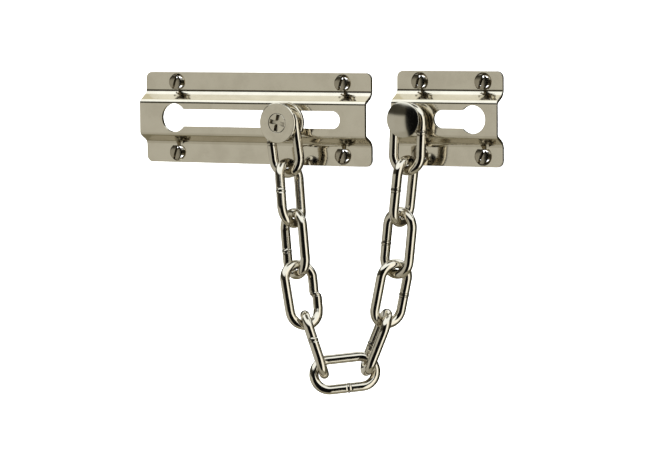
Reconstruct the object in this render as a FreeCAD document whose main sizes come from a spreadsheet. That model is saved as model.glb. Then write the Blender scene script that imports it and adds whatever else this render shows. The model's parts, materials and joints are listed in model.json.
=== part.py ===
"""Door chain guard: a slotted door plate, a sliding stud, eleven welded links and a frame plate.

The frame: +X along the slot towards the door frame, +Z up, -Y out of the wall. The origin is the
middle of the door plate's back face, so both plates lie against the plane Y = 0. Millimetres.
"""
import math
import os

import FreeCAD, Part
import Sketcher

V = FreeCAD.Vector

# name, value, what it is
DIMENSIONS = [
    ("sheet", 1.5, "thickness of both pressed plates"),
    ("plate_width", 42.0, "height of both plates on the wall"),
    ("rise", 7.4, "from the wall to the front of the raised channel"),
    ("crown_half", 7.9, "half width of the channel at its outer corners"),
    ("slope", 60.0, "angle of the channel's sides to the wall, degrees"),
    ("foot_bend", 3.2, "radius of the bends beside the flanges, on the front"),
    ("crown_bend", 2.4, "radius of the bends beside the raised face, on the front"),
    ("corner_round", 3.0, "radius of the plates' corners"),
    ("door_length", 120.2, "length of the door plate"),
    ("door_key_x", -41.2, "centre of the round end of the door plate's keyhole"),
    ("door_key_radius", 6.6, "its radius"),
    ("door_slot_end", 43.3, "centre of the slot's closed end"),
    ("slot_half", 3.95, "half width of both slots"),
    ("frame_length", 52.2, "length of the frame plate"),
    ("frame_x", 99.45, "middle of the frame plate"),
    ("frame_z", 1.2, "how much higher the frame plate is fixed"),
    ("park_x", 14.25, "round end of the parking keyhole, from the plate's middle"),
    ("park_radius", 6.23, "its radius"),
    ("park_slot_end", -0.95, "centre of its slot's closed end, from the plate's middle"),
    ("park_flare", 2.0, "rounding where its slot opens out"),
    ("screw_row", 16.3, "height of the screw rows above and below the middle"),
    ("door_screw_left", -43.0, "left screws of the door plate"),
    ("door_screw_right", 45.5, "right screws of the door plate"),
    ("frame_screw_left", -14.7, "left screws of the frame plate, from its middle"),
    ("frame_screw_right", 16.6, "right screws of the frame plate, from its middle"),
    ("screw_hole", 4.3, "clearance hole for a screw"),
    ("sink_width", 8.2, "countersink at the face"),
    ("screw_head", 6.7, "screw head across"),
    ("head_dome", 0.35, "height of the screw head's dome"),
    ("screw_proud", 1.8, "how far the screws stand out, not yet driven home"),
    ("shank", 3.5, "screw shank across"),
    ("thread_root", 2.5, "screw thread across its root"),
    ("thread_pitch", 1.6, "screw thread pitch"),
    ("screw_length", 20.0, "screw length below its head's rim"),
    ("driver_slot", 1.1, "width of the screwdriver slot"),
    ("driver_depth", 1.9, "its depth from the top of the head"),
    ("stud_x", 20.0, "sliding stud at rest, along the slot"),
    ("stud_z", -1.25, "the stud rests low in the slot"),
    ("neck", 5.2, "the stud's neck across"),
    ("play", 0.25, "running clearance of the sliding stud"),
    ("keeper", 11.2, "the stud's flange inside the channel, across"),
    ("keeper_thick", 1.6, "its thickness"),
    ("disc", 18.4, "the stud's cap and collar across"),
    ("collar_thick", 2.0, "collar thickness"),
    ("cap_thick", 2.1, "cap thickness"),
    ("disc_edge", 0.35, "broken edge of the collar and the cap"),
    ("groove", 4.9, "room for the link between collar and cap"),
    ("bolt", 3.5, "machine screw that holds the cap, across"),
    ("bolt_head", 8.6, "its head across"),
    ("bolt_head_thick", 1.5, "its head's thickness"),
    ("bolt_gap", 0.1, "gap round its head in the cap"),
    ("wing_reach", 3.8, "cross recess in its head, from the middle to a wing's end"),
    ("wing_width", 2.0, "width of the recess's wings at the face"),
    ("wing_deep", 1.3, "depth of the recess"),
    ("bolt_length", 11.0, "its length"),
    ("rivet_x", -14.7, "rivet, from the frame plate's middle"),
    ("rivet_neck", 4.2, "rivet neck across"),
    ("rivet_head", 15.9, "rivet head across"),
    ("rivet_rim", 1.2, "thickness of the rivet head's rim"),
    ("rivet_dome", 1.6, "height of its dome above the rim"),
    ("rivet_under", 9.0, "from the raised face to the underside of the head"),
    ("rivet_tail", 7.6, "peened tail across"),
    ("rivet_tail_thick", 1.2, "thickness of the peened tail"),
    ("wire", 4.4, "link wire across"),
    ("link_inside", 23.5, "clear length inside a link"),
    ("link_across", 13.5, "between the centre lines of a link's legs"),
    ("weld_ring", 0.22, "how far the weld stands out of the wire"),
]

# How each link hangs, in degrees: swing from straight down in the plane of the plates, lean out of
# that plane and turn about its own length. Then which leg has the weld.
LINKS = [
    (8.0, 0, 0, -1),
    (12.0, -13, 83, -1),
    (10.0, -8, -23, -1),
    (15.0, -8, 54, 1),
    (22.5, -3, -58, 1),
    (96.0, 39, 12, -1),
    (157.5, 3, 54, 1),
    (167.0, -1, -59, -1),
    (173.0, -1, 9, 1),
    (172.0, -2, -87, 1),
    (177.5, 0, 0, -1),
]
# Where the weld is, from the leg's middle towards its first bend, mm
WELD_PLACE = [0.5, 0, -2.3, -0.5, 1.2, -0.9, 3, 0, 1, -1.2, -3.2]
BOTTOM_LINK = 5           # index of the lowest link, which hangs on the bends, not on their middles
BITE_LEFT = 12            # where the link before it bears on its left bend, degrees from the middle
BITE_RIGHT = 25           # where the link after it bears on its right bend
BITE_NEXT = 15            # where that next link's own bend bears
LINK_PLAY = 0.2           # clearance between two links' wires
NECK_PLAY = 0.15          # clearance between the first link and the stud's neck
SLOT_TILT = [72, 72, 72, 68, 74, 70, 74, 66]     # screwdriver slots of the eight screws, degrees
RECESS_TILT = -12         # cross recess of the stud's screw
RECESS_TAPER = -12        # its walls lean inwards

doc = FreeCAD.newDocument("door_chain_guard")
sheet = doc.addObject("Spreadsheet::Sheet", "Dimensions")
for row, (name, value, meaning) in enumerate(DIMENSIONS, start=1):
    sheet.set(f"A{row}", meaning)
    sheet.set(f"B{row}", str(value))
    sheet.setAlias(f"B{row}", name)
doc.recompute()
D = {name: value for name, value, _ in DIMENSIONS}
parts = []


def cell(expression):
    """An expression on aliases, with each alias turned into a reference to the sheet."""
    words = sorted(D, key=len, reverse=True)
    out, rest = "", expression
    while rest:
        word = next((w for w in words if rest.startswith(w)), None)
        if word:
            out += f"Dimensions.{word}"
            rest = rest[len(word):]
        else:
            out += rest[0]
            rest = rest[1:]
    return out


def bind(thing, **sizes):
    for name, expression in sizes.items():
        thing.setExpression(name, cell(expression))


def value_of(expression):
    return float(sheet.evalExpression(cell(expression)))


# ---------------------------------------------------------------- bodies and sketches

def new_body(name):
    body = doc.addObject("PartDesign::Body", name)
    body.Label = name
    return body


def sketch_on(body, role, name):
    plane = next(f for f in body.Origin.OriginFeatures if f.Role == role)
    sketch = body.newObject("Sketcher::SketchObject", name)
    sketch.AttachmentSupport = [(plane, "")]
    sketch.MapMode = "FlatFace"
    return sketch


def pin(sketch, geometry, end, across, up):
    """Fixes one end of a piece of geometry to two expressions."""
    for kind, expression in (("DistanceX", across), ("DistanceY", up)):
        index = sketch.addConstraint(
            Sketcher.Constraint(kind, -1, 1, geometry, end, value_of(expression)))
        sketch.setExpression(f"Constraints[{index}]", cell(expression))


def outline(sketch, corners):
    """A closed outline through corners, each a pair of expressions. A third entry is the radius
    of an arc to the next corner, bulging away from the outline's left-hand side."""
    count = len(corners)
    for i, corner in enumerate(corners):
        after = corners[(i + 1) % count]
        a = V(value_of(corner[0]), value_of(corner[1]))
        b = V(value_of(after[0]), value_of(after[1]))
        if len(corner) == 2:
            g = sketch.addGeometry(Part.LineSegment(a, b), False)
        else:
            radius = value_of(corner[2])
            chord = b - a
            left = V(-chord.y, chord.x).normalize()
            centre = (a + b) / 2 + left * math.sqrt(max(radius**2 - (chord.Length / 2) ** 2, 0))
            start = math.atan2(a.y - centre.y, a.x - centre.x)
            end = math.atan2(b.y - centre.y, b.x - centre.x)
            if end <= start:
                end += 2 * math.pi
            circle = Part.Circle(centre, V(0, 0, 1), radius)
            g = sketch.addGeometry(Part.ArcOfCircle(circle, start, end), False)
        pin(sketch, g, 1, corner[0], corner[1])
        pin(sketch, g, 2, after[0], after[1])


def turned(name, corners):
    """A body turned about its own Z from a half outline of (radius, height) expressions, drawn
    anticlockwise."""
    body = new_body(name)
    sketch = sketch_on(body, "XZ_Plane", f"{name}_outline")
    outline(sketch, corners)
    turn = body.newObject("PartDesign::Revolution", f"{name}_turn")
    turn.Profile = sketch
    turn.ReferenceAxis = (sketch, ["V_Axis"])
    turn.Angle = 360
    body.Tip = turn
    doc.recompute()
    return body


def cut_slot(body, name, width, low, high, tilt):
    """A screwdriver slot across the whole head, between two heights."""
    before = body.Tip.Shape.Volume
    sketch = sketch_on(body, "XY_Plane", f"{name}_slot_outline")
    half = "screw_head"
    corners = [(f"-{half}", f"-{width}/2"), (half, f"-{width}/2"),
               (half, f"{width}/2"), (f"-{half}", f"{width}/2")]
    outline(sketch, corners)
    sketch.AttachmentOffset = FreeCAD.Placement(
        V(0, 0, value_of(low)), FreeCAD.Rotation(V(0, 0, 1), tilt))
    pocket = body.newObject("PartDesign::Pocket", f"{name}_slot")
    pocket.Profile = sketch
    pocket.Reversed = True
    bind(pocket, Length=f"({high})-({low})")
    body.Tip = pocket
    doc.recompute()
    if pocket.Shape.Volume > before - 1:
        raise RuntimeError(f"{name} has no driver slot")


def stand_out(body, x, z, y):
    """Puts a turned piece where its own Z points out of the wall, along -Y."""
    body.Placement = FreeCAD.Placement(V(x, y, z), FreeCAD.Rotation(V(1, 0, 0), 90))


def edges_where(shape, test):
    return [f"Edge{i}" for i, e in enumerate(shape.Edges, start=1) if test(e)]


def runs_along(edge, axis):
    if not isinstance(edge.Curve, Part.Line):
        return False
    return abs(abs(edge.Curve.Direction.dot(axis)) - 1) < 1e-6


def round_edges(body, name, radius, test):
    base = body.Tip
    edges = edges_where(base.Shape, test)
    fillet = body.newObject("PartDesign::Fillet", name)
    fillet.Base = (base, edges)
    bind(fillet, Radius=radius)
    body.Tip = fillet
    doc.recompute()


# ---------------------------------------------------------------- the two plates

def plate(name, length, middle):
    """A channel pressed along the middle of a plate, with a flat flange on each side. Its own
    origin is the middle of its back face."""
    body = new_body(name)
    sketch = sketch_on(body, "YZ_Plane", f"{name}_section")
    run = "(rise-sheet)/tan(slope)"
    lap = "sheet*tan(slope/2)"
    half = "plate_width/2"
    foot = f"crown_half+{run}"
    front = [("-sheet", half), ("-sheet", foot), ("-rise", "crown_half")]
    back = [("0", half), ("0", f"{foot}-{lap}"), ("sheet-rise", f"crown_half-{lap}")]
    below = [(y, f"-({z})") for y, z in front]
    behind = [(y, f"-({z})") for y, z in back]
    outline(sketch, back + behind[::-1] + below + front[::-1])
    pad = body.newObject("PartDesign::Pad", f"{name}_pad")
    pad.Profile = sketch
    pad.Midplane = True
    bind(pad, Length=length)
    body.Tip = pad
    doc.recompute()

    def bend(depth):
        """The channel's two corner edges at one depth."""
        def test(edge):
            if not runs_along(edge, V(1, 0, 0)):
                return False
            y, z = edge.CenterOfMass.y, abs(edge.CenterOfMass.z)
            return abs(y - value_of(depth)) < 0.01 and z < value_of(half) - 0.1
        return test

    round_edges(body, f"{name}_foot_front", "foot_bend", bend("-sheet"))
    round_edges(body, f"{name}_foot_back", "foot_bend+sheet", bend("0"))
    round_edges(body, f"{name}_crown_front", "crown_bend", bend("-rise"))
    round_edges(body, f"{name}_crown_back", "crown_bend-sheet", bend("sheet-rise"))
    limit = value_of(half) - 0.1
    round_edges(body, f"{name}_corners", "corner_round",
                lambda e: runs_along(e, V(0, 1, 0)) and abs(e.CenterOfMass.z) > limit)
    place = FreeCAD.Placement(V(value_of(middle), 0, 0), FreeCAD.Rotation())
    return body, place


def pocket_through(body, name, corners=None, circle=None):
    """Cuts through the raised face. Corners are (x, z) expressions seen from the front."""
    before = body.Tip.Shape.Volume
    sketch = sketch_on(body, "XZ_Plane", f"{name}_outline")
    if circle:
        x, radius = circle
        g = sketch.addGeometry(
            Part.Circle(V(value_of(x), 0), V(0, 0, 1), value_of(radius)), False)
        pin(sketch, g, 3, x, "0")
        index = sketch.addConstraint(Sketcher.Constraint("Radius", g, value_of(radius)))
        sketch.setExpression(f"Constraints[{index}]", cell(radius))
    else:
        outline(sketch, corners)
    pocket = body.newObject("PartDesign::Pocket", name)
    pocket.Profile = sketch
    pocket.Type = "Length"
    pocket.Midplane = True
    bind(pocket, Length="4*rise")
    body.Tip = pocket
    doc.recompute()
    if pocket.Shape.Volume > before - 10:
        raise RuntimeError(f"{name} cuts nothing")


def keyhole(body, name, key_x, key_radius, end_x, flare=None):
    """A round hole and a slot with one round end."""
    pocket_through(body, f"{name}_round", circle=(key_x, key_radius))
    low, high = "-slot_half", "slot_half"
    if value_of(end_x) > value_of(key_x):
        corners = [(key_x, low), (end_x, low, "slot_half"), (end_x, high), (key_x, high)]
    else:
        corners = [(key_x, high), (end_x, high, "slot_half"), (end_x, low), (key_x, low)]
    pocket_through(body, f"{name}_slot", corners=corners)
    if flare:
        def where_they_meet(edge):
            if not runs_along(edge, V(0, 1, 0)):
                return False
            at = edge.CenterOfMass
            on_slot = abs(abs(at.z) - value_of("slot_half")) < 0.01
            return on_slot and abs(at.x - value_of(end_x)) > 2

        round_edges(body, f"{name}_flare", flare, where_they_meet)


def screw_holes(body, name, columns):
    before = body.Tip.Shape.Volume
    sketch = sketch_on(body, "XZ_Plane", f"{name}_centres")
    sketch.AttachmentOffset = FreeCAD.Placement(V(0, 0, value_of("sheet")), FreeCAD.Rotation())
    for x in columns:
        for z in ("screw_row", "-screw_row"):
            g = sketch.addGeometry(Part.Circle(
                V(value_of(x), value_of(z)), V(0, 0, 1), value_of("screw_hole") / 2), False)
            pin(sketch, g, 3, x, z)
    doc.recompute()
    hole = body.newObject("PartDesign::Hole", f"{name}_countersunk")
    hole.Profile = sketch
    doc.recompute()
    hole.DepthType = "ThroughAll"
    hole.HoleCutType = "Countersink"
    hole.HoleCutCustomValues = True
    hole.HoleCutCountersinkAngle = 90
    bind(hole, Diameter="screw_hole", HoleCutDiameter="sink_width")
    body.Tip = hole
    doc.recompute()
    if hole.Shape.Volume > before - 10:
        raise RuntimeError(f"{name} has no screw holes")


def finish(body, place):
    body.Placement = place
    parts.append(body)


door_plate, place = plate("door_plate", "door_length", "0")
keyhole(door_plate, "keyhole", "door_key_x", "door_key_radius", "door_slot_end")
screw_holes(door_plate, "door", ("door_screw_left", "door_screw_right"))
finish(door_plate, place)

frame_plate, place = plate("frame_plate", "frame_length", "frame_x")
keyhole(frame_plate, "parking", "park_x", "park_radius", "park_slot_end", "park_flare")
pocket_through(frame_plate, "rivet_hole", circle=("rivet_x", "rivet_neck/2+0.05"))
screw_holes(frame_plate, "frame", ("frame_screw_left", "frame_screw_right"))
place.Base.z = D["frame_z"]
finish(frame_plate, place)


# ---------------------------------------------------------------- wood screws

def ridges(top, bottom):
    """The thread's outline from its lower end upwards: a crest between two roots each pitch."""
    count = int((top - bottom) / D["thread_pitch"])
    out = []
    for k in range(count):
        low = f"{bottom}+{k}*thread_pitch"
        out += [("thread_root/2", low), ("shank/2", f"{low}+0.45*thread_pitch"),
                ("shank/2", f"{low}+0.55*thread_pitch")]
    return out


def wood_screw(name, x, z, tilt):
    """A raised countersunk screw. Its own origin is the middle of its head's rim."""
    sink = "(screw_head-shank)/2"
    dome = "((screw_head/2)^2+head_dome^2)/(2*head_dome)"
    corners = [("0", "-screw_length")]
    corners += ridges(-7.2, -D["screw_length"] + 1.6)
    corners += [("thread_root/2", "-7.2"), ("shank/2", "-6.6"), ("shank/2", f"-{sink}"),
                ("screw_head/2", "0", dome), ("0", "head_dome")]
    body = turned(name, corners)
    cut_slot(body, name, "driver_slot", "head_dome-driver_depth", "head_dome+1", tilt)
    stand_out(body, x, z, -D["sheet"] - D["screw_proud"])
    parts.append(body)


def four_screws(name, columns, middle_x, middle_z, tilts):
    places = [(c, r) for r in (D["screw_row"], -D["screw_row"]) for c in columns]
    for n, ((column, row), tilt) in enumerate(zip(places, tilts), start=1):
        wood_screw(f"{name}_screw_{n}", middle_x + D[column], middle_z + row, tilt)


four_screws("door", ("door_screw_left", "door_screw_right"), 0, 0, SLOT_TILT[:4])
four_screws("frame", ("frame_screw_left", "frame_screw_right"), D["frame_x"], D["frame_z"],
            SLOT_TILT[4:])


# ---------------------------------------------------------------- the sliding stud
# The stud's own Z is zero at the raised face of the door plate and points out of the wall.

def on_stud(body):
    stand_out(body, D["stud_x"], D["stud_z"], -D["rise"])
    parts.append(body)


cap_low = "play+collar_thick+groove"
keeper_top = "-sheet-play"
keeper_low = f"{keeper_top}-keeper_thick"
sleeve = turned("stud_sleeve", [
    ("bolt/2+0.05", keeper_low), ("keeper/2-0.3", keeper_low), ("keeper/2", f"{keeper_low}+0.3"),
    ("keeper/2", keeper_top), ("neck/2", keeper_top), ("neck/2", cap_low),
    ("bolt/2+0.05", cap_low)])
on_stud(sleeve)


def disc(name, low, thick, hole, lip=None):
    """A disc with broken edges. A lip widens its hole at the top, for a screw's head."""
    rim, edge, top = "disc/2", "disc_edge", f"{low}+{thick}"
    corners = [(hole, low), (f"{rim}-{edge}", low), (rim, f"{low}+{edge}"),
               (rim, f"{top}-{edge}"), (f"{rim}-{edge}", top)]
    if lip:
        seat = f"{top}-bolt_head_thick"
        corners += [(f"{lip}+{edge}/3", top), (lip, f"{top}-{edge}/3"), (lip, seat), (hole, seat)]
    else:
        corners.append((hole, top))
    return turned(name, corners)


on_stud(disc("stud_collar", "play", "collar_thick", "neck/2+0.05"))
on_stud(disc("stud_cap", cap_low, "cap_thick", "bolt/2+0.05", "bolt_head/2+bolt_gap"))


def cross_recess(body, name, top):
    """Four tapering wings cut into a flat head."""
    for turn in (0, 90):
        before = body.Tip.Shape.Volume
        sketch = sketch_on(body, "XY_Plane", f"{name}_wing_{turn}")
        outline(sketch, [
            ("-wing_reach", "-wing_width/2"), ("wing_reach", "-wing_width/2"),
            ("wing_reach", "wing_width/2"), ("-wing_reach", "wing_width/2")])
        sketch.AttachmentOffset = FreeCAD.Placement(
            V(0, 0, value_of(top)), FreeCAD.Rotation(V(0, 0, 1), RECESS_TILT + turn))
        pocket = body.newObject("PartDesign::Pocket", f"{name}_recess_{turn}")
        pocket.Profile = sketch
        bind(pocket, Length="wing_deep")
        pocket.TaperAngle = RECESS_TAPER
        body.Tip = pocket
        doc.recompute()
        if pocket.Shape.Volume > before - 1:
            raise RuntimeError(f"{name} has no recess")


cap_top = f"{cap_low}+cap_thick"
bolt_end = f"{cap_top}-bolt_length"
bolt_seat = f"{cap_top}-bolt_head_thick"
bolt = turned("stud_screw", [
    ("0", bolt_end), ("bolt/2-0.5", bolt_end), ("bolt/2", f"{bolt_end}+0.5"),
    ("bolt/2", bolt_seat), ("bolt_head/2", bolt_seat),
    ("bolt_head/2", f"{cap_top}-disc_edge/3"), ("bolt_head/2-disc_edge/3", cap_top),
    ("0", cap_top)])
cross_recess(bolt, "stud_screw", cap_top)
on_stud(bolt)


# ---------------------------------------------------------------- the fixed rivet
# Its own Z is zero at the raised face of the frame plate.

rivet_x = D["frame_x"] + D["rivet_x"]
crown = "rivet_under+rivet_rim"
rivet_curve = "((rivet_head/2)^2+rivet_dome^2)/(2*rivet_dome)"
rivet = turned("frame_rivet", [
    ("0", "-sheet-rivet_tail_thick"), ("rivet_tail/2-0.5", "-sheet-rivet_tail_thick"),
    ("rivet_tail/2", "-sheet-rivet_tail_thick+0.5"), ("rivet_tail/2", "-sheet"),
    ("rivet_neck/2", "-sheet"), ("rivet_neck/2", "rivet_under"),
    ("rivet_head/2-0.3", "rivet_under"),
    ("rivet_head/2", "rivet_under+0.3"), ("rivet_head/2", crown, rivet_curve),
    ("0", f"{crown}+rivet_dome")])
stand_out(rivet, rivet_x, D["frame_z"], -D["rise"])
parts.append(rivet)


# ---------------------------------------------------------------- the chain

def axes(swing, lean, turn):
    """A link's direction from its first bend to its second, and the direction across its legs."""
    a, b, c = (math.radians(x) for x in (swing, lean, turn))
    along = V(math.sin(a) * math.cos(b), math.sin(b), -math.cos(a) * math.cos(b))
    flat = V(math.cos(a), 0, math.sin(a))
    third = along.cross(flat).normalize()
    return along, flat * math.cos(c) - third * math.sin(c)


def bearing(along, across, bite, start):
    """A point on a bend's centre line, from the middle of the nearer end, and the wire's
    direction there. Bite is the angle from the bend's middle."""
    radius = D["link_across"] / 2
    back = radius * (1 - math.cos(bite))
    sign = 1 if start else -1
    point = along * (sign * back) + across * (radius * math.sin(bite))
    return point, along * (sign * math.sin(bite)) + across * math.cos(bite)


def chain_places():
    """(start, along, across) of each link. Start is the middle of the first bend's centre line.
    Two wires cross square to the line between them, a wire and LINK_PLAY apart."""
    reach = D["link_inside"] + D["wire"]
    groove_y = -D["rise"] - D["play"] - D["collar_thick"] - D["groove"] / 2
    out = []
    for i, (swing, lean, turn, _) in enumerate(LINKS):
        along, across = axes(swing, lean, turn)
        if i == 0:
            hang = D["neck"] / 2 + D["wire"] / 2 + NECK_PLAY
            start = V(D["stud_x"], groove_y, D["stud_z"]) - along * hang
        else:
            before, was_along, was_across = out[-1]
            bite_before = math.radians(BITE_RIGHT if i == BOTTOM_LINK + 1 else 0)
            bite_here = math.radians({BOTTOM_LINK: BITE_LEFT, BOTTOM_LINK + 1: BITE_NEXT}.get(i, 0))
            off_before, wire_before = bearing(was_along, was_across, bite_before, False)
            off_here, wire_here = bearing(along, across, bite_here, True)
            apart = wire_before.cross(wire_here).normalize()
            if apart.dot(was_along + along) > 0:
                apart = -apart
            meet = before + was_along * reach + off_before
            start = meet + apart * (D["wire"] + LINK_PLAY) - off_here
        out.append((start, along, across))
    return out


def primitive(kind, name, place, **sizes):
    thing = doc.addObject(kind, name)
    bind(thing, **sizes)
    thing.Placement = place
    return thing


def chain_link(name, weld_leg, weld_offset):
    """Two straight legs and two half-round bends of wire, and a ring of weld on one leg. Its own
    X runs from the first bend to the second, its Y across the legs, and its origin is the middle
    of the first bend."""
    half = D["link_across"] / 2
    leg = D["link_inside"] + D["wire"] - D["link_across"]
    to_x = FreeCAD.Rotation(V(0, 1, 0), 90)
    pieces = []
    for side in (-1, 1):
        pieces.append(primitive(
            "Part::Cylinder", f"{name}_leg_{side + 2}", FreeCAD.Placement(V(half, side * half, 0), to_x),
            Radius="wire/2", Height="link_inside+wire-link_across"))
    for end, (x, turn) in enumerate(((half, 90), (half + leg, -90)), start=1):
        bend = primitive(
            "Part::Torus", f"{name}_bend_{end}",
            FreeCAD.Placement(V(x, 0, 0), FreeCAD.Rotation(V(0, 0, 1), turn)),
            Radius1="link_across/2", Radius2="wire/2")
        bend.Angle3 = 180
        pieces.append(bend)
    pieces.append(primitive(
        "Part::Torus", f"{name}_weld",
        FreeCAD.Placement(V(half + leg / 2 + weld_offset, weld_leg * half, 0), to_x),
        Radius1="wire/2-0.5", Radius2="0.5+weld_ring"))
    link = doc.addObject("Part::MultiFuse", name)
    link.Label = name
    link.Shapes = pieces
    link.Refine = True
    return link


for n, ((start, along, across), (_, _, _, weld_leg), offset) in enumerate(
        zip(chain_places(), LINKS, WELD_PLACE), start=1):
    link = chain_link(f"chain_link_{n:02d}", weld_leg, -offset)
    third = along.cross(across)
    link.Placement = FreeCAD.Placement(start, FreeCAD.Rotation(along, across, third, "XYZ"))
    parts.append(link)


# ---------------------------------------------------------------- checks and files

doc.recompute()
for thing in doc.Objects:
    if "Invalid" in thing.State or "Error" in thing.State:
        raise RuntimeError(f"{thing.Label}: {thing.State}")
os.makedirs("parts", exist_ok=True)
for part in parts:
    shape = part.Shape
    if shape.isNull() or not shape.isValid() or len(shape.Solids) != 1:
        raise RuntimeError(f"{part.Label} isn't one valid solid")
    shape.exportStep(f"parts/{part.Label}.step")
    print(f"{part.Label}: {shape.Volume:.0f} mm3")
last = chain_places()[-1]
end = last[0] + last[1] * (D["link_inside"] + D["wire"])
gap = end.z - D["wire"] / 2 - D["rivet_neck"] / 2 - D["frame_z"]
print(f"last link: {end.x - rivet_x:.2f} mm beside the rivet, {gap:.2f} mm above its neck")
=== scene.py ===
"""A nickel-plated door chain guard: two pressed plates, a sliding stud, a rivet and a welded chain.

Lengths are in millimetres until they go through MM; the floor and the camera are in metres. The wall
is the plane Y = 0, the room is on the -Y side, +X runs along the slot and +Z is up.
"""
import json
import math

import bmesh
import bpy
import numpy as np
from mathutils import Matrix, Vector, noise


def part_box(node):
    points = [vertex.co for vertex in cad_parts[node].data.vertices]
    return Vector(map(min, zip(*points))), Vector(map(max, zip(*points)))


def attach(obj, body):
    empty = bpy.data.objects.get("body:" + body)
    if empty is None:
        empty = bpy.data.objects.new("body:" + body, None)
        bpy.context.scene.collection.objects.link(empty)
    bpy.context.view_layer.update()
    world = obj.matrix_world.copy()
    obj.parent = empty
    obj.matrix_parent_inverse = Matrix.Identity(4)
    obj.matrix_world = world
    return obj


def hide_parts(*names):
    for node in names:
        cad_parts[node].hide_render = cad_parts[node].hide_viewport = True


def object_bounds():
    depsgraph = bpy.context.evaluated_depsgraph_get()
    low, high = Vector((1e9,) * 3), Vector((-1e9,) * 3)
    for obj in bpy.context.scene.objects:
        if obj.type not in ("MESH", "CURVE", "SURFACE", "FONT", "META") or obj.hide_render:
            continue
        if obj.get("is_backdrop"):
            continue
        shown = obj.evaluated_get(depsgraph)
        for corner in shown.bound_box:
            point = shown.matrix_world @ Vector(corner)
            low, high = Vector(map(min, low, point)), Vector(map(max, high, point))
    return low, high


MM = 0.001

WIRE = 4.4                # link wire across
LINK_INSIDE = 23.5        # clear length inside a link
LINK_ACROSS = 13.5        # between the middles of a link's legs
LINK_COUNT = 11
SCREWS_EACH = 4           # wood screws in each plate

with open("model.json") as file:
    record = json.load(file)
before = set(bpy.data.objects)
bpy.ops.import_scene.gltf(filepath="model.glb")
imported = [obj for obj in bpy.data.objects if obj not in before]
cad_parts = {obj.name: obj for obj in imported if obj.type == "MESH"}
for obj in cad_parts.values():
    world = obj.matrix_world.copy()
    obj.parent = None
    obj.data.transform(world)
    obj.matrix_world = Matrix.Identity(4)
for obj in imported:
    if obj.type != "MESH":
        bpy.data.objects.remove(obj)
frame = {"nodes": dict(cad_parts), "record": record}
cad_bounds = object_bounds()


# ------------------------------------------------------------------ writing shaders

class Value:
    """One socket of a shader, so that maths on it is written as an ordinary expression."""

    def __init__(self, shader, socket):
        self.shader = shader
        self.socket = socket

    def maths(self, operation, *values):
        return self.shader.node("ShaderNodeMath", {"operation": operation}, *values)

    def __add__(self, other):
        return self.maths("ADD", self, other)

    def __radd__(self, other):
        return self.maths("ADD", other, self)

    def __sub__(self, other):
        return self.maths("SUBTRACT", self, other)

    def __rsub__(self, other):
        return self.maths("SUBTRACT", other, self)

    def __mul__(self, other):
        return self.maths("MULTIPLY", self, other)

    def __rmul__(self, other):
        return self.maths("MULTIPLY", other, self)

    def __truediv__(self, other):
        return self.maths("DIVIDE", self, other)


class Shader:
    """The node tree of a material or of the world, emptied first."""

    def __init__(self, owner):
        owner.use_nodes = True
        self.tree = owner.node_tree
        self.tree.nodes.clear()

    def node(self, kind, settings=None, *values, out=0, at=None, **inputs):
        """Adds a node: its settings, then its inputs in order, by number in at, or by name."""
        made = self.tree.nodes.new(kind)
        for name, setting in (settings or {}).items():
            if name == "stops":
                self.fill_ramp(made.color_ramp, setting)
            else:
                setattr(made, name, setting)
        for key, value in [*enumerate(values), *(at or {}).items(), *inputs.items()]:
            socket = made.inputs[key if isinstance(key, int) else key.replace("_", " ")]
            if isinstance(value, Value):
                self.tree.links.new(value.socket, socket)
            elif socket.type == "RGBA":
                socket.default_value = (*value[:3], 1)
            else:
                socket.default_value = value
        return Value(self, made.outputs[out]) if made.outputs else None

    def fill_ramp(self, ramp, stops):
        while len(ramp.elements) < len(stops):
            ramp.elements.new(0.5)
        for element, (position, colour) in zip(ramp.elements, stops):
            element.position = position
            element.color = (*colour, 1)

    def spot(self, stretch=(1, 1, 1)):
        """Position on the piece, in millimetres times stretch, so a small stretch draws a
        pattern out along that axis."""
        where = self.node("ShaderNodeTexCoord", out="Object")
        scale = [s / MM for s in stretch]
        return self.node("ShaderNodeVectorMath", {"operation": "MULTIPLY"}, where, scale)

    def cloud(self, where, size=1.0, detail=3.0, rough=0.5):
        """Grey cloud from 0 to 1 with features about size across."""
        return self.node("ShaderNodeTexNoise", None, Vector=where, Scale=1 / size,
                         Detail=detail, Roughness=rough)

    def ease(self, value, low, high):
        """0 below low and 1 above high, smooth between."""
        return self.node("ShaderNodeMapRange", {"interpolation_type": "SMOOTHSTEP"},
                         value, low, high, 0.0, 1.0)

    def between(self, value, low, high, soft):
        """1 between low and high, falling to 0 over soft on each side."""
        return (self.ease(value, low - soft, low + soft)
                * (1 - self.ease(value, high - soft, high + soft)))

    def mix(self, amount, first, second):
        return self.node("ShaderNodeMix", {"data_type": "RGBA"}, out=2,
                         at={0: amount, 6: first, 7: second})

    def bump(self, height, strength, depth, under=None):
        """A surface normal disturbed by height, where 1 is depth millimetres high."""
        links = {"Normal": under} if under else {}
        return self.node("ShaderNodeBump", None, Strength=strength, Distance=depth * MM,
                         Height=height, **links)

    def metal(self, colour, rough, normal):
        shader = self.node("ShaderNodeBsdfPrincipled", None, Base_Color=colour, Metallic=1.0,
                           Roughness=rough, Normal=normal)
        self.node("ShaderNodeOutputMaterial", None, Surface=shader)


def material(name):
    made = bpy.data.materials.new(name)
    return made, Shader(made)


# ------------------------------------------------------------------ finishes

NICKEL = (0.70, 0.655, 0.555)
RIVET_NICKEL = (0.61, 0.575, 0.49)
# The wire's nickel is the plating's own tone, darkened a little below the plates' as painted shade
# so the chain looks darker overall.
WIRE_NICKEL = (0.63, 0.59, 0.505)
DULL_NICKEL = (0.50, 0.455, 0.365)
SCREW_NICKEL = (0.40, 0.36, 0.285)
DULL_SCREW = (0.29, 0.26, 0.20)
GRIME = (0.13, 0.11, 0.08)
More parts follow.
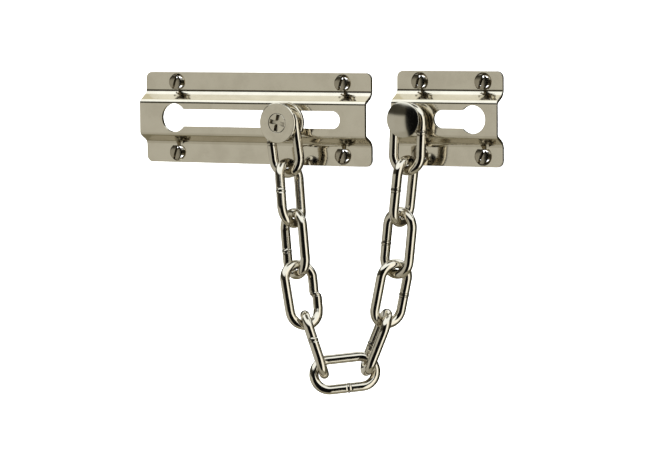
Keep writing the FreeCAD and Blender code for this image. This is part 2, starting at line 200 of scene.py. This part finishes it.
# The next two colours are painted shade: deep in the stud screw's recess, and in the wood screws'
# slots and where their heads meet the plates.
RECESS_PAINTED_SHADE = (0.09, 0.075, 0.045)
SCREW_PAINTED_SHADE = (0.05, 0.042, 0.03)

PATCH_SHOWS = 0.35        # how much of the duller metal shows in a patch
SPECK_SHOWS = 0.30        # how dark a speck is
# Two sets of scratches: how closely each one's pattern is packed along X, Y and Z
SCRATCH_SETS = ((0.155, 1, 0.56), (0.0575, 1, 1.52))
SCRATCH_SHOWS = 0.5       # how strong one set is


def worn_nickel(s, tint, shade, patch_size):
    """Base colour of plating: slow patches of slightly duller metal and fine dark specks."""
    where = s.spot()
    patches = s.ease(s.cloud(where, patch_size, detail=4, rough=0.6), low=0.35, high=0.75)
    specks = s.ease(s.cloud(where, size=0.35, detail=2, rough=0.6), low=0.68, high=0.80)
    plated = s.mix(patches * PATCH_SHOWS, tint, shade)
    return s.mix(specks * SPECK_SHOWS, plated, GRIME)


def rolled_nickel():
    """Pressed sheet: drawn out along X by rolling, gently wavy, with light scratches."""
    made, s = material("plated_sheet")
    where = s.spot()
    grain = s.cloud(s.spot((0.06, 1, 1)), size=0.22, detail=4, rough=0.65)
    scratches = 0
    for packed in SCRATCH_SETS:
        drawn = s.cloud(s.spot(packed), size=0.5, detail=1, rough=0.4)
        thin = s.between(drawn, low=0.598, high=0.603, soft=0.006)
        scratches = scratches + thin * SCRATCH_SHOWS
    waves = s.cloud(s.spot((0.35, 1, 0.6)), size=9.0, detail=2, rough=0.4)
    pores = s.cloud(where, size=0.28, detail=3, rough=0.6)
    hazy = s.ease(s.cloud(where, size=14, detail=3), low=0.4, high=0.8)
    rough = 0.07 + grain * 0.05 + scratches * 0.08 + hazy * 0.05
    slow = s.bump(waves, strength=0.3, depth=0.06)
    relief = grain * 0.6 + pores * 0.4 - scratches * 0.8
    fine = s.bump(relief, strength=0.2, depth=0.006, under=slow)
    s.metal(worn_nickel(s, NICKEL, DULL_NICKEL, patch_size=11), rough, fine)
    return made


def turned_nickel(name, centre, rings, rough_from, tint):
    """Faced in a lathe: faint rings round an axis along Y, and small handling marks. One ring of
    the tool is 2 pi / rings millimetres wide."""
    made, s = material(name)
    cx, cz = centre
    where = s.node("ShaderNodeTexCoord", out="Object")
    offset = s.node("ShaderNodeVectorMath", {"operation": "SUBTRACT"}, where, (cx, 0, cz))
    flat = s.node("ShaderNodeVectorMath", {"operation": "MULTIPLY"}, offset, (1, 0, 1))
    radius = s.node("ShaderNodeVectorMath", {"operation": "LENGTH"}, flat, out="Value") / MM
    wobble = s.cloud(s.spot(), size=3.0, detail=2)
    cuts = s.node("ShaderNodeMath", {"operation": "SINE"}, (radius + wobble * 0.1) * rings)
    marks = s.cloud(s.spot(), size=0.4, detail=3, rough=0.6)
    rough = rough_from + s.cloud(s.spot(), size=4.0, detail=3) * 0.08
    slow = s.bump(s.cloud(s.spot(), size=6.0, detail=2), strength=0.3, depth=0.05)
    fine = s.bump(cuts * 0.5 + marks, strength=0.25, depth=0.004, under=slow)
    s.metal(worn_nickel(s, tint, DULL_NICKEL, patch_size=5), rough, fine)
    return made


def wire_nickel():
    """Drawn wire: fine lines along it, a heat mark at the weld, bright where links bear."""
    made, s = material("plated_wire")
    along = s.node("ShaderNodeUVMap", {"uv_map": "wire"})
    stretched = s.node("ShaderNodeVectorMath", {"operation": "MULTIPLY"}, along, (0.08, 3.0, 1.0))
    lines = s.cloud(stretched, size=1.0, detail=4, rough=0.6)
    weld = s.node("ShaderNodeAttribute", {"attribute_name": "weld"}, out="Fac")
    worn = s.node("ShaderNodeAttribute", {"attribute_name": "bearing"}, out="Fac")
    pits = s.cloud(s.spot(), size=0.45, detail=4, rough=0.65)
    hollows = s.cloud(s.spot(), size=3.2, detail=2)
    clean = worn_nickel(s, WIRE_NICKEL, DULL_NICKEL, patch_size=4)
    colour = s.mix(s.ease(weld, low=0.25, high=0.95) * 0.75, clean, GRIME)
    rough = 0.05 + lines * 0.04 + pits * 0.03 + weld * 0.16 - worn * 0.02
    slow = s.bump(hollows, strength=0.35, depth=0.07)
    scale = s.cloud(s.spot(), size=0.5, detail=3) * weld
    fine = s.bump(lines * 0.5 + pits * 0.5 + scale * 3, strength=0.25, depth=0.007, under=slow)
    s.metal(colour, rough, fine)
    return made


def painted_shade_in_hollows(s, reach):
    """Mask for painted shade: 1 where walls within reach millimetres close the surface in, 0 in the
    open.
    """
    hollow = s.node("ShaderNodeAmbientOcclusion", {"samples": 8}, Distance=reach * MM, out="AO")
    return 1 - s.ease(hollow, low=0.25, high=0.85)


def struck_nickel():
    """The stud's screw: faced like its cap, with its struck recess darkened by painted shade."""
    made, s = material("struck_screw")
    rough = 0.08 + s.cloud(s.spot(), size=2.0, detail=3) * 0.08
    fine = s.bump(s.cloud(s.spot(), size=0.9, detail=3), strength=0.35, depth=0.03)
    clean = worn_nickel(s, NICKEL, DULL_NICKEL, patch_size=5)
    # Painted shade: the base colour darkens deep in the recess, where its walls close in.
    painted_hollow_shade = painted_shade_in_hollows(s, reach=2.6) * 0.9
    s.metal(s.mix(painted_hollow_shade, clean, RECESS_PAINTED_SHADE), rough, fine)
    return made


def screw_nickel():
    """Cheap plating over cut threads: browner, with painted shade in the hollows."""
    made, s = material("plated_screw")
    # Painted shade: the base colour darkens in the slot and where the head meets the plate, where
    # walls close in.
    painted_hollow_shade = painted_shade_in_hollows(s, reach=1.2) * 0.8
    clean = worn_nickel(s, SCREW_NICKEL, DULL_SCREW, patch_size=2.5)
    rough = 0.13 + s.cloud(s.spot(), size=0.9, detail=3) * 0.12
    fine = s.bump(s.cloud(s.spot(), size=0.9, detail=4, rough=0.6), strength=0.35, depth=0.02)
    s.metal(s.mix(painted_hollow_shade, clean, SCREW_PAINTED_SHADE), rough, fine)
    return made


# ------------------------------------------------------------------ pieces made from the CAD's own

def body_holding(node):
    bodies = frame["record"]["behaviour"]["bodies"]
    return next(name for name, nodes in bodies.items() if node in nodes)


def slot_of(node):
    subparts = frame["record"]["subparts"]
    return next(s["material_slot"] for s in subparts if s["node"] == node)


def stand_for(piece, node, finish):
    """Dresses a piece that stands for a CAD node and moves with its body."""
    piece.data.materials.clear()
    piece.data.materials.append(finish)
    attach(piece, body_holding(node))
    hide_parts(node)
    slot_of(node)


def apply_modifiers(piece):
    bpy.context.view_layer.update()
    graph = bpy.context.evaluated_depsgraph_get()
    mesh = bpy.data.meshes.new_from_object(piece.evaluated_get(graph),
                                           preserve_all_data_layers=True, depsgraph=graph)
    piece.modifiers.clear()
    piece.data = mesh


SAME_POINT = 0.005        # vertices this near each other are one
FLAT_WITHIN = 0.4         # faces that turn by less than this many degrees are one
SHARP_FROM = 38           # an edge that turns by more than this many degrees is rounded


def broken_edges(node, finish, edge, segments=3):
    """A copy of a CAD node whose sharp edges are rounded by edge millimetres."""
    mesh = bmesh.new()
    mesh.from_mesh(frame["nodes"][node].data)
    bmesh.ops.remove_doubles(mesh, verts=mesh.verts, dist=SAME_POINT * MM)
    bmesh.ops.dissolve_limit(mesh, angle_limit=math.radians(FLAT_WITHIN), verts=mesh.verts,
                             edges=mesh.edges)
    for face in mesh.faces:
        face.smooth = True
    data = bpy.data.meshes.new(f"{node}_finished")
    mesh.to_mesh(data)
    mesh.free()
    piece = bpy.data.objects.new(f"{node}_finished", data)
    bpy.context.scene.collection.objects.link(piece)
    bevel = piece.modifiers.new("edge", "BEVEL")
    bevel.width = edge * MM
    bevel.segments = segments
    bevel.limit_method = "ANGLE"
    bevel.angle_limit = math.radians(SHARP_FROM)
    bevel.use_clamp_overlap = True
    flats = piece.modifiers.new("flats", "WEIGHTED_NORMAL")
    flats.mode = "FACE_AREA"
    flats.weight = 100
    apply_modifiers(piece)
    stand_for(piece, node, finish)


# ------------------------------------------------------------------ the chain's links

BEND = LINK_ACROSS / 2
REACH = LINK_INSIDE + WIRE                    # between the middles of the two bends
LEG = REACH - LINK_ACROSS                     # straight part of a leg
GIRTH = math.pi * WIRE
WHOLE = 2 * LEG + 2 * math.pi * BEND          # once round the link
ROUND = 36                                    # faces round the wire
BEND_STEPS = 30                               # and along each bend
LEG_STEPS = 64                                # and along each leg
LEG_LEVEL = 0.01          # a point this near a leg's level is on that leg

INSIDE_CAD = 0.02         # the wire is this much thinner than the CAD link's
DRAWN = 0.012             # height of the marks that run along the wire
WORN = 0.05               # how much is worn off inside a bend
SWELL, SWELL_REACH = 0.05, 1.3                # the wire is upset, and thicker, beside its weld
RING, RING_REACH = 0.18, 0.36                 # the burr that the weld pressed out
NOTCH, NOTCH_AT, NOTCH_REACH = 0.12, 0.9, 0.30      # the groove that the clamps left beside it
WAVER = 0.55              # how far the burr wanders along the wire
MISJOINED = {4: -0.95}    # a link whose wire ends met a little out of line, by this much
STEP_REACH, STEP_FADES = 1.2, 4.0             # how quickly that step comes, and goes again
NEXT_LINK = 40            # shift of the wire's lines from one link to the next
WELD_STANDS_OUT = 0.12    # a point of the CAD link that is further out than this is on its weld


def link_axes(node):
    """Middle, direction of the legs, direction across them, and where the weld is: distance
    along from the middle and side. All read from the CAD link, in millimetres."""
    data = frame["nodes"][node].data
    points = np.empty(len(data.vertices) * 3)
    data.vertices.foreach_get("co", points)
    points = points.reshape(-1, 3) / MM
    faces = np.array([list(face.vertices)[:3] for face in data.polygons])
    a, b, c = (points[faces[:, i]] for i in range(3))
    weight = np.linalg.norm(np.cross(b - a, c - a), axis=1)
    middles = (a + b + c) / 3
    centre = (middles * weight[:, None]).sum(0) / weight.sum()
    spread = middles - centre
    _, vectors = np.linalg.eigh((spread * weight[:, None]).T @ spread)
    along, across = vectors[:, 2], vectors[:, 1]
    if abs(along[2]) > abs(along[0]):
        along = along * np.sign(along[2])
    else:
        along = along * np.sign(along[0])
    across = across * (np.sign(across[0]) or 1)
    local = points - centre
    u, v, w = local @ along, local @ across, local @ np.cross(along, across)
    off_leg = np.hypot(np.abs(v) - BEND, w)
    proud = (np.abs(u) < LEG / 2) & (off_leg > WIRE / 2 + WELD_STANDS_OUT)
    weld_at = (float(u[proud].mean()), float(np.sign(v[proud].mean())))
    return centre, along, across, weld_at


def centre_line():
    """Round the link: position and outward direction in the link's own plane, and the length
    run so far, with the leg on the weld's side first."""
    half = LEG / 2
    for i in range(LEG_STEPS):
        run = LEG * i / LEG_STEPS
        yield (-half + run, BEND), (0, 1), run
    for i in range(BEND_STEPS):
        turn = math.pi * i / BEND_STEPS
        out = (math.sin(turn), math.cos(turn))
        yield (half + BEND * out[0], BEND * out[1]), out, LEG + BEND * turn
    for i in range(LEG_STEPS):
        run = LEG * i / LEG_STEPS
        yield (half - run, -BEND), (0, -1), LEG + BEND * math.pi + run
    for i in range(BEND_STEPS):
        turn = math.pi * i / BEND_STEPS
        out = (-math.sin(turn), -math.cos(turn))
        run = 2 * LEG + BEND * math.pi + BEND * turn
        yield (-half + BEND * out[0], BEND * out[1]), out, run


def marks_on_wire(seed, run, from_weld, bent):
    """One ring round the wire, from its outer side: for each point its angle, radius, weld mark
    and wear. bent is 0 on a leg and 1 at the middle of a bend."""
    swell = SWELL * math.exp(-(from_weld / SWELL_REACH) ** 2)
    for k in range(ROUND):
        angle = 2 * math.pi * k / ROUND
        outwards, sideways = math.cos(angle), math.sin(angle)
        ragged = 0.5 + 0.5 * noise.noise(Vector((angle * 1.4, run * 0.3, 0)) + seed)
        wear = bent**3 * max(0.0, -outwards) ** 2
        wander = WAVER * noise.noise(Vector((outwards, sideways, 0)) * 1.3 + seed)
        off_burr = from_weld + wander
        ring = math.exp(-(off_burr / RING_REACH) ** 2)
        notch = math.exp(-((abs(off_burr) - NOTCH_AT) / NOTCH_REACH) ** 2)
        line = DRAWN * noise.noise(Vector((outwards * 2, sideways * 2, run * 0.25)) + seed)
        radius = WIRE / 2 - INSIDE_CAD + line - WORN * wear
        radius += swell + RING * ring * ragged - NOTCH * notch
        yield angle, radius, min(1.0, max(ring, 0.8 * notch)), wear


def draw_lines_along(data, runs, shift):
    """Lays the wire out flat in a UV map, in millimetres along it and round it, so that its
    fine lines run along the wire."""
    flat = data.uv_layers.new(name="wire")
    for number, face in enumerate(data.polygons):
        i, k = divmod(number, ROUND)
        ends = (runs[i], runs[i + 1] if i + 1 < len(runs) else WHOLE)
        sides = (GIRTH * k / ROUND, GIRTH * (k + 1) / ROUND)
        corners = ((ends[0], sides[0]), (ends[0], sides[1]), (ends[1], sides[1]),
                   (ends[1], sides[0]))
        for loop, (along, round_it) in zip(face.loop_indices, corners):
            flat.data[loop].uv = (along + shift, round_it)


def chain_link(number, finish):
    """Welded link: round wire a touch flattened inside its bends, with the weld's uneven burr,
    the grooves beside it and the small swelling round it."""
    node = f"chain_link_{number:02d}"
    centre, along, across, (weld_at, weld_side) = link_axes(node)
    across = across * weld_side
    third = np.cross(along, across)
    seed = Vector((number * 7.3, number * 3.1, number * 11.7))
    points, welds, bearings, runs = [], [], [], []
    for (x, y), out, run in centre_line():
        step = 0
        from_weld = LEG
        if y > BEND - LEG_LEVEL:
            from_weld = x - weld_at
            step = MISJOINED.get(number, 0) * math.tanh(from_weld / STEP_REACH)
            step *= math.exp(-abs(from_weld) / STEP_FADES)
        bent = max(0.0, abs(x) - LEG / 2) / BEND
        for angle, radius, weld, wear in marks_on_wire(seed, run, from_weld, bent):
            off = step + radius * math.cos(angle)
            spot = centre + along * (x + off * out[0]) + across * (y + off * out[1])
            points.append((spot + third * (radius * math.sin(angle))) * MM)
            welds.append(weld)
            bearings.append(wear)
        runs.append(run)
    faces = []
    for i in range(len(runs)):
        for k in range(ROUND):
            j, m = (i + 1) % len(runs), (k + 1) % ROUND
            faces.append((i * ROUND + k, i * ROUND + m, j * ROUND + m, j * ROUND + k))
    data = bpy.data.meshes.new(f"{node}_wire")
    data.from_pydata([tuple(point) for point in points], [], faces)
    for name, values in (("weld", welds), ("bearing", bearings)):
        data.attributes.new(name, "FLOAT", "POINT").data.foreach_set("value", values)
    draw_lines_along(data, runs, number * NEXT_LINK)
    data.polygons.foreach_set("use_smooth", [True] * len(data.polygons))
    data.update()
    piece = bpy.data.objects.new(f"{node}_wire", data)
    bpy.context.scene.collection.objects.link(piece)
    turn_outwards(piece)
    stand_for(piece, node, finish)


def turn_outwards(piece):
    mesh = bmesh.new()
    mesh.from_mesh(piece.data)
    bmesh.ops.recalc_face_normals(mesh, faces=mesh.faces)
    mesh.to_mesh(piece.data)
    mesh.free()


# ------------------------------------------------------------------ the whole guard

def middle_of(node):
    low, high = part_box(node)
    return [(a + b) / 2 for a, b in zip(low, high)]


def build_guard():
    sheet = rolled_nickel()
    for node in ("door_plate", "frame_plate"):
        broken_edges(node, sheet, edge=0.22)
    stud = middle_of("stud_cap")
    rivet = middle_of("frame_rivet")
    stud_finish = turned_nickel("faced_stud", (stud[0], stud[2]), rings=22, rough_from=0.08,
                                tint=NICKEL)
    rivet_finish = turned_nickel("headed_rivet", (rivet[0], rivet[2]), rings=14, rough_from=0.11,
                                 tint=RIVET_NICKEL)
    for node in ("stud_collar", "stud_cap", "stud_sleeve"):
        broken_edges(node, stud_finish, edge=0.12)
    broken_edges("stud_screw", struck_nickel(), edge=0.06)
    broken_edges("frame_rivet", rivet_finish, edge=0.12)
    screw = screw_nickel()
    for plate in ("door", "frame"):
        for number in range(1, SCREWS_EACH + 1):
            broken_edges(f"{plate}_screw_{number}", screw, edge=0.08, segments=2)
    wire = wire_nickel()
    for number in range(1, LINK_COUNT + 1):
        chain_link(number, wire)


# ------------------------------------------------------------------ studio

ALL_ROUND = (-200, 200)
UNDER, OVER = -120, 120   # heights past straight down and straight up

DARK_ROOM = (0.06, 0.056, 0.042)
# What stands in it: azimuths and how soft their ends are, heights and how soft theirs are, in
# degrees, and its light. Each stands in front of those above it.
STUDIO = {
    "ground": (ALL_ROUND, 2, (UNDER, -24), 6, (0.24, 0.22, 0.15)),
    "ground at the foot": (ALL_ROUND, 2, (UNDER, -63), 5, (0.42, 0.40, 0.32)),
    "left card": ((-158, -17), 2, (-30, 7), 2, (0.60, 0.59, 0.53)),
    "low card": ((-75, -17), 3, (-64, -28), 3, (0.50, 0.485, 0.42)),
    "black gap in front": ((-16, 51), 2, (-60, 32), 3, (0.005, 0.005, 0.005)),
    "right box": ((54, 98), 3, (-55, 70), 6, (1.55, 1.53, 1.43)),
    "wall beside it": ((98, 118), 4, (-50, 28), 4, (0.26, 0.245, 0.18)),
    "dark far right": ((118, 158), 4, (-50, 28), 4, (0.035, 0.03, 0.02)),
    "overhead box": (ALL_ROUND, 2, (32.5, OVER), 3.5, (1.45, 1.52, 1.56)),
    "ceiling": (ALL_ROUND, 2, (69, OVER), 3, (0.10, 0.095, 0.075)),
    "tan card": ((-150, -100), 5, (38, 62), 4, (0.83, 0.79, 0.61)),
}


def studio_light():
    """The room that the plating mirrors, by direction: azimuth from straight in front (-Y)
    towards +X, and height above the horizon."""
    world = bpy.data.worlds.new("studio")
    bpy.context.scene.world = world
    s = Shader(world)
    ray = s.node("ShaderNodeTexCoord", out="Generated")
    x, y, z = (s.node("ShaderNodeSeparateXYZ", None, ray, out=axis) for axis in "XYZ")
    in_degrees = math.degrees(1)
    azimuth = s.node("ShaderNodeMath", {"operation": "ARCTAN2"}, x, 0 - y) * in_degrees
    height = s.node("ShaderNodeMath", {"operation": "ARCSINE"}, z) * in_degrees
    room = DARK_ROOM
    for azimuths, side_soft, heights, edge_soft, light in STUDIO.values():
        here = s.between(azimuth, *azimuths, side_soft) * s.between(height, *heights, edge_soft)
        room = s.mix(here, room, light)
    shining = s.node("ShaderNodeBackground", None, room, 1.0)
    s.node("ShaderNodeOutputWorld", None, Surface=shining)


PAPER = ((0.86, 0.86, 0.85), (0.90, 0.90, 0.89))     # its darker and lighter patches
FLOOR_BELOW = 120         # the floor is this far below the chain


def pale_floor(level, radius=5.0, wall=4.0, sweep=1.2, sides=96, sweep_steps=12):
    """A round floor that turns up into a wall all round. The metal doesn't mirror it."""
    outline = [(0.0, level), (radius - sweep, level)]
    for i in range(1, sweep_steps + 1):
        turn = math.pi / 2 * i / sweep_steps
        outline.append((radius - sweep + sweep * math.sin(turn),
                        level + sweep * (1 - math.cos(turn))))
    outline.append((radius, level + wall))
    mesh = bmesh.new()
    rings = []
    for r, up in outline:
        count = 1 if r == 0 else sides
        ring = []
        for k in range(count):
            turn = 2 * math.pi * k / sides
            ring.append(mesh.verts.new((r * math.cos(turn), r * math.sin(turn), up)))
        rings.append(ring)
    for k in range(sides):
        mesh.faces.new((rings[0][0], rings[1][k], rings[1][(k + 1) % sides]))
    for lower, upper in zip(rings[1:], rings[2:]):
        for k in range(sides):
            m = (k + 1) % sides
            mesh.faces.new((lower[k], lower[m], upper[m], upper[k]))
    for face in mesh.faces:
        face.smooth = True
    data = bpy.data.meshes.new("floor")
    mesh.to_mesh(data)
    mesh.free()
    floor = bpy.data.objects.new("floor", data)
    bpy.context.scene.collection.objects.link(floor)
    made, s = material("pale_paper")
    tone = s.mix(s.cloud(s.spot(), size=60), *PAPER)
    paper = s.node("ShaderNodeBsdfPrincipled", None, Base_Color=tone, Roughness=0.9,
                   Emission_Color=(1.0, 1.0, 1.0), Emission_Strength=0.75)
    s.node("ShaderNodeOutputMaterial", None, Surface=paper)
    data.materials.append(made)
    floor.visible_glossy = False
    floor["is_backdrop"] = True


def camera(azimuth=30.057, elevation=4.706, roll=-0.472, lens=155.27,
           place=(0.66402, -1.08939, 0.05217)):
    """A long lens that looks from the right and a little above, its angles in degrees."""
    a, e, r = (math.radians(angle) for angle in (azimuth, elevation, roll))
    back = Vector((math.sin(a) * math.cos(e), -math.cos(a) * math.cos(e), math.sin(e)))
    right = Vector((math.cos(a), math.sin(a), 0))
    up = back.cross(right)
    across = right * math.cos(r) + up * math.sin(r)
    upright = up * math.cos(r) - right * math.sin(r)
    data = bpy.data.cameras.new("camera")
    data.lens = lens
    data.sensor_width = 36.0
    data.clip_start = 0.05
    data.clip_end = 60.0
    made = bpy.data.objects.new("camera", data)
    turn = Matrix((across, upright, back)).transposed().to_4x4()
    made.matrix_world = Matrix.Translation(place) @ turn
    bpy.context.scene.collection.objects.link(made)
    bpy.context.scene.camera = made


build_guard()
studio_light()
pale_floor(level=cad_bounds[0][2] - FLOOR_BELOW * MM)
camera()
bpy.context.scene.view_settings.view_transform = "Standard"

boxes = {"cad": cad_bounds, "visual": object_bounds()}
({name: [[float(c) for c in corner] for corner in box]
           for name, box in boxes.items()})
